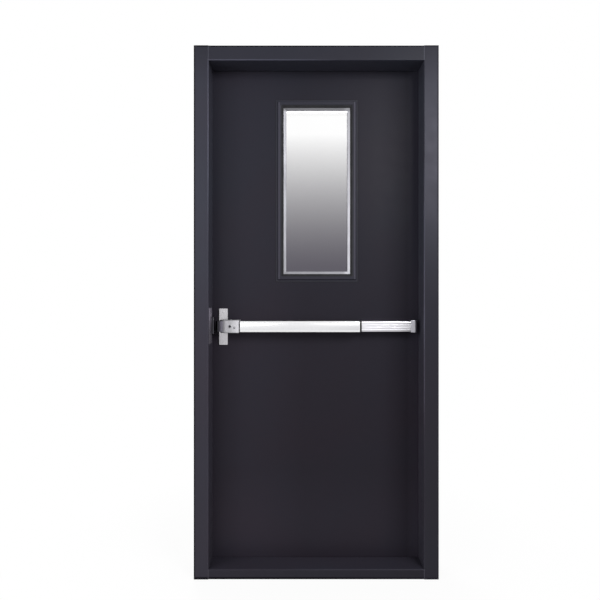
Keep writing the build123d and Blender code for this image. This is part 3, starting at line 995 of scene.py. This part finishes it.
class SubAssembly:
    """Pieces that are dressed and built together."""

    def finishes(self) -> dict[str, Finish]:
        """The finish of each CAD node that the sub-assembly dresses."""
        return {}

    def build(self) -> list[bpy.types.Object]:
        """Builds the sub-assembly's own pieces."""
        return []

    def dress(self) -> None:
        """Puts each finish into the material slots of its CAD node."""
        for name, finish in self.finishes().items():
            node = frame["nodes"][name]
            if not node.material_slots:
                node.data.materials.append(None)
            for slot in node.material_slots:
                slot.material = material_of(finish)


@dataclass
class PressedFrame(SubAssembly):
    """Jambs, head and sill, with the wall anchors in the rabbets."""

    rabbet_x: float = 0.462
    anchor_y: float = 0.051
    anchor_heights: tuple[float, ...] = (0.47775, 0.87775, 1.32725, 1.72725)
    anchor_turn: float = 11.0
    head_span: tuple[float, float] = (2.1395, 2.1975)
    sill_span: tuple[float, float] = (0.0025, 0.0405)
    weld_middle: float = 0.4448
    weld_face: float = -0.0729
    weld_foot: float = -0.0705
    weld_half: float = 0.002
    weld_steps: int = 14
    weld_sway: float = 0.0003
    weld_crown: float = 0.0003
    weld_shoulder: float = 0.6

    def finishes(self) -> dict[str, Finish]:
        """Powder coat on the frame, bare zinc behind it."""
        return {
            "left_jamb": FRAME_COAT,
            "right_jamb": FRAME_COAT,
            "head": SHADED_CROSS_COAT,
            "sill": SHADED_CROSS_COAT,
            "hinge_reinforcements": RAW_SHEET,
        }

    def build(self) -> list[bpy.types.Object]:
        """Fills the four corner seams and sets a low bolt head in each anchor hole.

        Returns:
            The weld beads and the anchor heads.
        """
        return [self.corner_welds(), self.anchor_bolts()]

    def corner_welds(self) -> bpy.types.Object:
        """Flat weld beads that fill the seams between the jambs and the two cross pieces, in a lighter coat
        that is a painted highlight.

        Returns:
            The four beads in one mesh.
        """
        piece = Workpiece("corner_weld_beads")
        for side in (-1, 1):
            for span in (self.head_span, self.sill_span):
                piece.loft([self.weld_ring(side, span, step) for step in range(self.weld_steps + 1)])
        return piece.deliver("frame", "frame_paint", WELD_HIGHLIGHT_COAT)

    def weld_ring(self, side: int, span: tuple[float, float], step: int) -> Ring:
        """Section of a weld bead at one step of its length.

        Args:
            side: -1 for the left corner, 1 for the right one.
            span: the bead's lower and upper end.
            step: the step, from 0 at the lower end.

        Returns:
            The section's ring.
        """
        z = span[0] + (span[1] - span[0]) * step / self.weld_steps
        middle = side * self.weld_middle
        sway = self.weld_sway * math.sin(2.3 * step + side)
        half, shoulder = self.weld_half, self.weld_half * self.weld_shoulder
        shoulder_y = self.weld_face + self.weld_crown
        section = (
            (-half, self.weld_foot),
            (-shoulder, shoulder_y),
            (0.0, self.weld_face),
            (shoulder, shoulder_y),
            (half, self.weld_foot),
        )
        return [Vector((middle + offset + sway, y, z)) for offset, y in section]

    def anchor_bolts(self) -> bpy.types.Object:
        """Sets a low bolt head in each anchor hole.

        Returns:
            The anchor heads.
        """
        seats = [
            seat_on((side * self.rabbet_x, self.anchor_y, z), (-side, 0.0, 0.0), self.anchor_turn * index)
            for index, z in enumerate(self.anchor_heights)
            for side in (-1, 1)
        ]
        heads = set_of_heads("wall_anchor_heads", ANCHOR_HEAD, seats)
        return heads.deliver("frame", "hidden_steel", ANCHOR_ZINC)


@dataclass
class DoorSeals(SubAssembly):
    """Seal strips on the stops, each with fine ribs towards the leaf."""

    rib_rise: float = 0.0005
    rib_width: float = 0.0012
    rib_count: int = 3
    rib_foot: float = -0.0002

    def finishes(self) -> dict[str, Finish]:
        """Rubber on all four strips."""
        return {f"{place}_seal": DOOR_SEAL for place in ("left", "right", "head", "sill")}

    def build(self) -> list[bpy.types.Object]:
        """Lays the ribs along each strip.

        Returns:
            The ribs of all four strips in one mesh.
        """
        piece = Workpiece("door_seal_ribs")
        for name in self.finishes():
            low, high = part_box(name)
            upright = high.z - low.z > high.x - low.x
            across = (low.x, high.x) if upright else (low.z, high.z)
            ends = (low.z, high.z) if upright else (low.x, high.x)
            for index in range(self.rib_count):
                middle = across[0] + (across[1] - across[0]) * (index + 1) / (self.rib_count + 1)
                piece.loft([self.rib(middle, end, high.y, upright) for end in ends])
        return [piece.deliver("frame", "seal_rubber", DOOR_SEAL)]

    def rib(self, middle: float, end: float, face: float, upright: bool) -> Ring:
        """Section of a rib at one end of its strip.

        Args:
            middle: the rib's place across the strip.
            end: the place of this end.
            face: the strip's face towards the leaf.
            upright: whether the strip stands.

        Returns:
            The section's ring.
        """
        half = self.rib_width / 2
        foot = self.rib_foot
        shape = ((-half, foot), (-half, 0.0), (0.0, self.rib_rise), (half, 0.0), (half, foot))
        if upright:
            return [Vector((middle + offset, face + rise, end)) for offset, rise in shape]
        return [Vector((end, face + rise, middle + offset)) for offset, rise in shape]


@dataclass
class DoorLeaf(SubAssembly):
    """The two face skins over the board, closed by a channel at the top and bottom."""

    def finishes(self) -> dict[str, Finish]:
        """Powder coat outside, board and zinc inside."""
        return {
            "push_skin": LEAF_COAT,
            "pull_skin": LEAF_BACK_COAT,
            "leaf_core": CORE_BOARD,
            "top_channel": RAW_SHEET,
            "bottom_channel": RAW_SHEET,
        }


@dataclass
class VisionPanel(SubAssembly):
    """Glass with its beads, seals, folded trims and gaskets on both faces of the leaf."""

    push_face_y: float = 0.029
    pull_face_y: float = 0.073
    # Dark gasket on the trim's slope, which also paints the shade on that slope
    gasket_and_shade_section: Section = (
        (-0.0012, 0.0006),
        (-0.0012, 0.0023),
        (-0.0004, 0.0030),
        (0.0078, 0.0072),
        (0.0092, 0.0068),
        (0.0092, 0.0058),
        (0.0006, 0.0012),
    )
    # Dark sealant bead at the trim's outer edge, which also paints the shadow line there
    sealant_and_shadow_section: Section = (
        (0.0306, -0.0002),
        (0.0306, 0.0014),
        (0.0318, 0.0010),
        (0.0330, 0.0004),
        (0.0336, -0.0002),
    )
    tape_low: float = 1.9636
    tape_levels: tuple[float, float] = (0.0001, 0.0003)
    adhesive_levels: tuple[float, float] = (0.00001, 0.0001)
    tape_margin: float = 0.004

    def finishes(self) -> dict[str, Finish]:
        """Paint on the trims, bright metal on the beads, rubber beside the glass."""
        return {
            "glass_pane": PANEL_GLASS,
            **{f"{face}_glazing_trim": TRIM_COAT for face in ("push", "pull")},
            "push_glazing_bead": BEAD_METAL,
            "pull_glazing_bead": PULL_BEAD_METAL,
            **{f"{face}_glass_seal": GLAZING_SILICONE for face in ("push", "pull")},
        }

    def build(self) -> list[bpy.types.Object]:
        """Lays a dark gasket inside each trim and a dark line of sealant round it, both also standing for
        painted shade on the trim, and the tape on the glass.

        Returns:
            The gaskets and the sealant lines, both faces in one mesh each, and the tape's two layers.
        """
        made = []
        sections = {"glazing_gaskets_and_shade": self.gasket_and_shade_section, "trim_sealant_and_shadow": self.sealant_and_shadow_section}
        for name, section in sections.items():
            piece = Workpiece(name)
            for face_y, outward in ((self.push_face_y, -1), (self.pull_face_y, 1)):
                self.ring_round_panel(piece, section, face_y, outward)
            made.append(piece.deliver("leaf", "seal_rubber", GASKET))
        made.append(self.tape_layer("glass_setting_tape", self.tape_levels, SETTING_TAPE))
        made.append(self.tape_layer("setting_tape_adhesive", self.adhesive_levels, GASKET))
        return made

    def tape_layer(self, name: str, levels: tuple[float, float], finish: Finish) -> bpy.types.Object:
        """One layer of the thin tape on the front of the glass, along its top edge.

        Args:
            name: the piece's name.
            levels: distance of its back and of its front from the glass.
            finish: its finish.

        Returns:
            The layer, which rides on the leaf.
        """
        low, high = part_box("glass_pane")
        top = high.z - self.tape_margin
        back, front = low.y - levels[0], low.y - levels[1]
        section = ((back, self.tape_low), (front, self.tape_low + back - front), (front, top), (back, top))
        piece = Workpiece(name)
        ends = (low.x + self.tape_margin, high.x - self.tape_margin)
        piece.loft([[Vector((x, y, z)) for y, z in section] for x in ends])
        return piece.deliver("leaf", "seal_rubber", finish)

    def ring_round_panel(self, piece: Workpiece, section: Section, face_y: float, outward: int) -> None:
        """Adds a mitred ring round the vision panel.

        Args:
            piece: the mesh that it goes into.
            section: (distance outside the sight edge, height above the leaf's face), in order.
            face_y: the leaf's face.
            outward: -1 on the push side, 1 on the pull side.
        """
        rings = []
        for side, end in ((-1, -1), (1, -1), (1, 1), (-1, 1)):
            edge = SIGHT.low if end < 0 else SIGHT.high
            ring = []
            for offset, rise in section:
                x = SIGHT.centre_x + side * (SIGHT.half_width + offset)
                ring.append(Vector((x, face_y + outward * rise, edge + end * offset)))
            rings.append(ring)
        piece.loft(rings, endless=True)


@dataclass
class ButtHinges(SubAssembly):
    """Three butt hinges with four screws in each plate."""

    places: tuple[str, ...] = ("bottom", "middle", "top")
    screw_heights: tuple[float, ...] = (-0.040, -0.014, 0.014, 0.040)
    screw_step: float = 0.0055
    plate_thickness: float = 0.003
    knuckle_reach: float = 0.0145
    screw_turn: float = 23.0

    def finishes(self) -> dict[str, Finish]:
        """Satin plates and brighter pins."""
        dressed: dict[str, Finish] = {}
        for place in self.places:
            dressed[f"{place}_hinge_frame_plate"] = HINGE_STEEL
            dressed[f"{place}_hinge_leaf_plate"] = HINGE_STEEL
            dressed[f"{place}_hinge_pin"] = PIN_STEEL
        return dressed

    def build(self) -> list[bpy.types.Object]:
        """Screws down every plate.

        Returns:
            The screws of the frame plates and those of the leaf plates.
        """
        made = []
        for body, side in (("frame", 1), ("leaf", -1)):
            plates = [f"{place}_hinge_{body}_plate" for place in self.places]
            seats = [seat for plate in plates for seat in self.seats(plate, side)]
            piece = set_of_heads(f"hinge_{body}_screws", PLATE_SCREW, seats)
            made.append(piece.deliver(body, "hinge_steel", SCREW_STEEL))
        return made

    def seats(self, node: str, side: int) -> list[Matrix]:
        """Places of the screws in one plate, staggered about its middle line.

        Args:
            node: the plate's CAD node.
            side: 1 for the frame's plate, -1 for the leaf's.

        Returns:
            One matrix for each screw.
        """
        low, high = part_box(node)
        plate_x = high.x - self.plate_thickness if side > 0 else low.x + self.plate_thickness
        middle_y = (low.y + high.y - self.knuckle_reach) / 2
        middle_z = (low.z + high.z) / 2
        return [
            seat_on(
                (plate_x, middle_y + self.screw_step * (-1) ** index, middle_z + height),
                (-side, 0.0, 0.0),
                self.screw_turn * index,
            )
            for index, height in enumerate(self.screw_heights)
        ]


@dataclass
class ExitDevice(SubAssembly):
    """Push bar, its rail, the latch head with its plate, and the end cap."""

    bar_height: float = 1.039
    keyhole_radius: float = 0.005
    collar_width: float = 0.0022
    collar_rise: float = 0.0006
    collar_foot: float = -0.003
    collar_points: int = 48
    socket_play: float = 0.0004
    socket_reach: float = 0.0034
    socket_level: float = -0.0079
    flute_count: int = 5
    flute_rise: float = 0.0006
    flute_steps: int = 6
    flute_margin: float = 0.0045
    foot_depth: float = 0.0002
    pad_margin: float = 0.003
    pad_height: float = 0.030
    pad_rise: float = 0.0006
    plate_screw_offset: float = 0.064
    face_screw_place: tuple[float, float] = (-0.3441, 1.0339)
    case_screw_insets: tuple[float, float] = (0.050, 0.012)
    cap_screw_shift: float = -0.002

    def finishes(self) -> dict[str, Finish]:
        """Satin metal that differs a little from piece to piece."""
        return {
            "push_bar": BAR_METAL,
            "bar_guides": PIN_STEEL,
            "rail_channel": CHANNEL_METAL,
            "rail_cover": RAIL_METAL,
            "head_case": CASE_METAL,
            "end_cap": CAP_METAL,
            "lock_plate": PLATE_METAL,
        }

    def build(self) -> list[bpy.types.Object]:
        """Builds the trim and screws of the device.

        Returns:
            The built pieces.
        """
        return [
            self.bar_pad(),
            self.rail_flutes(),
            self.key_collar(),
            self.key_socket(),
            self.face_screw(),
            self.head_screws(),
            self.plate_screws(),
        ]

    def bar_pad(self) -> bpy.types.Object:
        """The slightly raised face of the push bar.

        Returns:
            The pad, which rides on the bar.
        """
        low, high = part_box("push_bar")
        half = self.pad_height / 2
        levels = ((0.0, -self.foot_depth), (0.0, self.pad_rise * 0.5), (self.pad_rise, self.pad_rise))
        rings = []
        for inset, rise in levels:
            left, right = low.x + self.pad_margin + inset, high.x - self.pad_margin - inset
            reach = half - inset
            corners = ((left, -reach), (right, -reach), (right, reach), (left, reach))
            rings.append([Vector((x, low.y - rise, self.bar_height + z)) for x, z in corners])
        piece = Workpiece("push_bar_pad")
        piece.loft(rings)
        return piece.deliver("push_bar", "bar_metal", PAD_METAL)

    def rail_flutes(self) -> bpy.types.Object:
        """The fluted strip on the face of the rail cover.

        Returns:
            The strip, which rides on the leaf.
        """
        low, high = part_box("rail_cover")
        foot, top = low.z + self.flute_margin, high.z - self.flute_margin
        pitch = (top - foot) / self.flute_count
        section = [(foot, -self.foot_depth)]
        for index in range(self.flute_count * self.flute_steps + 1):
            share = index / self.flute_steps
            section.append((foot + pitch * share, self.flute_rise * abs(math.sin(math.pi * share))))
        section.append((top, -self.foot_depth))
        piece = Workpiece("rail_cover_flutes")
        piece.loft([[Vector((x, low.y - rise, z)) for z, rise in section] for x in (low.x, high.x)])
        return piece.deliver("leaf", "rail_metal", RAIL_METAL)

    def key_seat(self) -> Matrix:
        """The middle of the keyhole on the face of the head case."""
        mount = next(m for m in frame["record"]["mounts"] if m["name"] == "dogging_keyhole")
        return seat_on(mount["pos_m"], (0.0, -1.0, 0.0))

    def key_collar(self) -> bpy.types.Object:
        """The low collar round the keyhole.

        Returns:
            The collar, which rides on the leaf.
        """
        inner, outer = self.keyhole_radius, self.keyhole_radius + self.collar_width
        profile = (
            (inner, self.collar_foot),
            (outer, self.collar_foot),
            (outer, self.collar_rise * 0.4),
            (outer - self.collar_rise, self.collar_rise),
            (inner + self.collar_rise, self.collar_rise),
            (inner, self.collar_rise * 0.4),
        )
        angles = [2 * math.pi * index / self.collar_points for index in range(self.collar_points)]
        seat = self.key_seat()
        piece = Workpiece("keyhole_collar")
        rings = [[seat @ on_circle(radius, angle, level) for angle in angles] for radius, level in profile]
        piece.loft(rings, endless=True)
        return piece.deliver("leaf", "case_metal", DARK_SCREW)

    def key_socket(self) -> bpy.types.Object:
        """The hexagon key socket at the bottom of the keyhole.

        Returns:
            The socket, which rides on the leaf.
        """
        radius = self.keyhole_radius - self.socket_play
        head = Fastener(radius, 0.0008, Recess.HEX, self.socket_reach, depth=0.0015, sunk=0.0)
        seat = self.key_seat() @ Matrix.Translation((0.0, 0.0, self.socket_level))
        return set_of_heads("key_socket", head, [seat]).deliver("leaf", "case_metal", KEY_STEEL)

    def face_screw(self) -> bpy.types.Object:
        """The dark screw beside the keyhole.

        Returns:
            The screw, which rides on the leaf.
        """
        front_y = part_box("head_case")[0].y
        x, z = self.face_screw_place
        seat = seat_on((x, front_y, z), (0.0, -1.0, 0.0), turn=30.0)
        return set_of_heads("case_face_screw", FACE_SCREW, [seat]).deliver("leaf", "case_metal", DARK_SCREW)

    def head_screws(self) -> bpy.types.Object:
        """Small screws that hold the head case and the end cap.

        Returns:
            The screws, which ride on the leaf.
        """
        case_low, case_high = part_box("head_case")
        cap_low, cap_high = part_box("end_cap")
        case_y, cap_y = (case_low.y + case_high.y) / 2, (cap_low.y + cap_high.y) / 2
        cap_x = (cap_low.x + cap_high.x) / 2 + self.cap_screw_shift
        seats = []
        for x in (case_low.x + self.case_screw_insets[0], case_high.x - self.case_screw_insets[1]):
            seats.append(seat_on((x, case_y, case_high.z), (0.0, 0.0, 1.0), turn=12.0))
            seats.append(seat_on((x, case_y, case_low.z), (0.0, 0.0, -1.0), turn=40.0))
        seats.append(seat_on((cap_x, cap_y, cap_high.z), (0.0, 0.0, 1.0), turn=20.0))
        seats.append(seat_on((cap_x, cap_y, cap_low.z), (0.0, 0.0, -1.0), turn=20.0))
        screws = set_of_heads("case_and_cap_screws", CASE_SCREW, seats)
        return screws.deliver("leaf", "case_metal", SCREW_STEEL)

    def plate_screws(self) -> bpy.types.Object:
        """One screw near each end of the lock plate.

        Returns:
            The screws, which ride on the leaf.
        """
        low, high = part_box("lock_plate")
        x, middle_z = (low.x + high.x) / 2, (low.z + high.z) / 2
        seats = []
        for side in (-1, 1):
            place = (x, low.y, middle_z + side * self.plate_screw_offset)
            seats.append(seat_on(place, (0.0, -1.0, 0.0), turn=35.0 * side))
        screws = set_of_heads("lock_plate_screws", PLATE_SCREW, seats)
        return screws.deliver("leaf", "plate_metal", PLATE_METAL)


@dataclass
class LatchAndKeeper(SubAssembly):
    """Latch bolt on the leaf side, strike plate and keeper on the frame."""

    strike_screw_offset: float = 0.060
    keeper_screw_offset: float = 0.025

    def finishes(self) -> dict[str, Finish]:
        """A bolt darkened by painted shade, a dark keeper, a lighter strike plate."""
        return {"latch_bolt": SHADED_BOLT_METAL, "strike_plate": STRIKE_METAL, "strike_keeper": KEEPER_METAL}

    def build(self) -> list[bpy.types.Object]:
        """Screws down the strike plate and the keeper.

        Returns:
            The screws, which ride on the frame.
        """
        seats = []
        offsets = {"strike_plate": self.strike_screw_offset, "strike_keeper": self.keeper_screw_offset}
        for node, offset in offsets.items():
            low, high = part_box(node)
            middle_y, middle_z = (low.y + high.y) / 2, (low.z + high.z) / 2
            for side in (-1, 1):
                place = (high.x, middle_y, middle_z + side * offset)
                seats.append(seat_on(place, (1.0, 0.0, 0.0), turn=28.0 * side))
        screws = set_of_heads("strike_screws", PLATE_SCREW, seats)
        return [screws.deliver("frame", "keeper_metal", DARK_SCREW)]


@dataclass
class SoftLamp:
    """A square soft lamp that faces a point."""

    name: str
    place: tuple[float, float, float]
    aim: tuple[float, float, float]
    side: float
    power: float

    def hang(self) -> None:
        """Adds the lamp to the scene."""
        data = bpy.data.lights.new(self.name, "AREA")
        data.shape = "SQUARE"
        data.size = self.side
        data.energy = self.power
        lamp = bpy.data.objects.new(self.name, data)
        lamp.location = self.place
        lamp.rotation_euler = (Vector(self.aim) - Vector(self.place)).to_track_quat("-Z", "Y").to_euler()
        lamp.visible_transmission = False
        bpy.context.scene.collection.objects.link(lamp)


@dataclass
class Studio:
    """Pale floor, white surroundings and soft lamps."""

    floor_reach: float = 30.0
    floor_colour: Colour = (0.82, 0.82, 0.82)
    floor_whiteness: float = 0.92
    shadow_reach: tuple[float, float] = (0.7, 1.3)
    sky_level: float = 0.5
    lamps: tuple[SoftLamp, ...] = (
        SoftLamp("key_lamp", (1.25, -2.1, 2.4), (0.4, 0.0, 1.75), 0.95, 52.0),
        SoftLamp("right_side_lamp", (2.1, -1.5, 2.6), (0.4, 0.0, 1.6), 0.8, 13.0),
        SoftLamp("fill_lamp", (-1.35, -2.2, 1.9), (-0.4, 0.0, 1.4), 1.0, 10.0),
        SoftLamp("left_side_lamp", (-2.4, -1.5, 1.6), (0.0, 0.0, 1.3), 1.2, 28.0),
        SoftLamp("back_lamp", (-1.2, 3.0, 2.6), (0.0, 0.0, 1.2), 1.6, 70.0),
    )

    def set_up(self) -> None:
        """Builds the floor, the surroundings and the lamps."""
        self.lay_floor()
        self.paint_surroundings()
        for lamp in self.lamps:
            lamp.hang()
        bpy.context.scene.view_settings.view_transform = "Standard"

    def paint_surroundings(self) -> None:
        """White where it is seen, and a plain soft light everywhere else."""
        world = bpy.data.worlds.new("white_surroundings")
        world.use_nodes = True
        bpy.context.scene.world = world
        sheet = NodeSheet(world.node_tree)
        background = sheet.tree.nodes["Background"]
        sheet.feed(background, "Color", (1.0, 1.0, 1.0, 1.0))
        sheet.feed(background, "Strength", sheet.spread(sheet.seen_directly(), UNIT, (self.sky_level, 1.0)))

    def lay_floor(self) -> None:
        """A wide pale floor that keeps the door's shadow."""
        reach = self.floor_reach
        sheet = ShaderSheet("studio_floor")
        grain = sheet.spread(sheet.noise(3.0, 3.0), NOISE_SPAN, UNIT)
        sheet.paint("Base Color", sheet.blend(grain, scaled(self.floor_colour, 0.98), self.floor_colour))
        sheet.paint("Roughness", 0.9)
        sheet.paint("Specular IOR Level", 0.0)
        distance = sheet.node("VectorMath", {0: sheet.place}, "Value", operation="LENGTH")
        whiteness = sheet.spread(distance, self.shadow_reach, (self.floor_whiteness, 1.0))
        glow = sheet.node("Emission", {}, "Emission")
        share = sheet.product(sheet.seen_directly(), whiteness)
        mixed = sheet.node("MixShader", {0: share, 1: sheet.shader.outputs["BSDF"], 2: glow}, "Shader")
        sheet.feed(sheet.tree.nodes["Material Output"], "Surface", mixed)
        mesh = bpy.data.meshes.new("studio_floor")
        corners = [(-reach, -reach, 0.0), (reach, -reach, 0.0), (reach, reach, 0.0), (-reach, reach, 0.0)]
        mesh.from_pydata(corners, [], [(0, 1, 2, 3)])
        mesh.materials.append(sheet.material)
        floor = bpy.data.objects.new("studio_floor", mesh)
        bpy.context.scene.collection.objects.link(floor)


@dataclass
class PhotoCamera:
    """The camera at the photograph's place, level and square to the wall."""

    place: tuple[float, float, float] = (-0.067, -2.061, 1.151)
    picture_width: float = 600.0
    focal_in_pixels: float = 482.8
    sensor_width: float = 36.0

    def stand(self) -> None:
        """Adds the camera and makes it the scene's own."""
        data = bpy.data.cameras.new("photo_camera")
        data.sensor_width = self.sensor_width
        data.lens = self.focal_in_pixels / self.picture_width * self.sensor_width
        data.clip_start = 0.05
        data.clip_end = 200.0
        camera = bpy.data.objects.new("photo_camera", data)
        camera.location = self.place
        camera.rotation_euler = (math.radians(90.0), 0.0, 0.0)
        bpy.context.scene.collection.objects.link(camera)
        bpy.context.scene.camera = camera


def main() -> None:
    """Dresses and builds every sub-assembly, then sets up the studio and the camera."""
    logging.basicConfig(level=logging.INFO, format="%(message)s")
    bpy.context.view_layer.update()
    door: tuple[SubAssembly, ...] = (
        PressedFrame(),
        DoorSeals(),
        DoorLeaf(),
        VisionPanel(),
        ButtHinges(),
        ExitDevice(),
        LatchAndKeeper(),
    )
    for part in door:
        part.dress()
        for piece in part.build():
            log.info("%s: %s, %d faces", type(part).__name__, piece.name, len(piece.data.polygons))
    Studio().set_up()
    PhotoCamera().stand()


if __name__ == "__main__":
    main()
